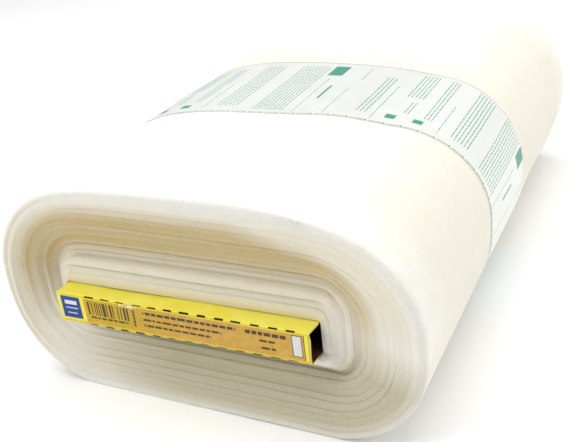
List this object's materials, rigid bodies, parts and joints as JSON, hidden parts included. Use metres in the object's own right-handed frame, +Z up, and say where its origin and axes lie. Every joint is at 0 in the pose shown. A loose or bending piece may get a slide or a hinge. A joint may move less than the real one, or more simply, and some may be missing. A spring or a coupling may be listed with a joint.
{
  "type": "roll of foam stabilizer",
  "caption": "Bolt of thin white sewing foam wound flat on a folded yellow cardboard board, with a printed band round its middle.",
  "frame": {"origin": "on the surface the roll rests on, under the middle of its box", "axes": "+Z up, +Y along the roll away from the labelled end, +X to the right as seen from the labelled end"},
  "size_m": [0.3194, 0.51, 0.1662],
  "materials": {
    "foam": "matte",
    "band_film": "satin",
    "board_card": "matte",
    "label_paper": "satin"
  },
  "bodies": {
    "root": {"foam_roll": "foam", "instruction_band": "band_film", "core_board": "board_card", "end_label": "label_paper"}
  },
  "joints": []
}
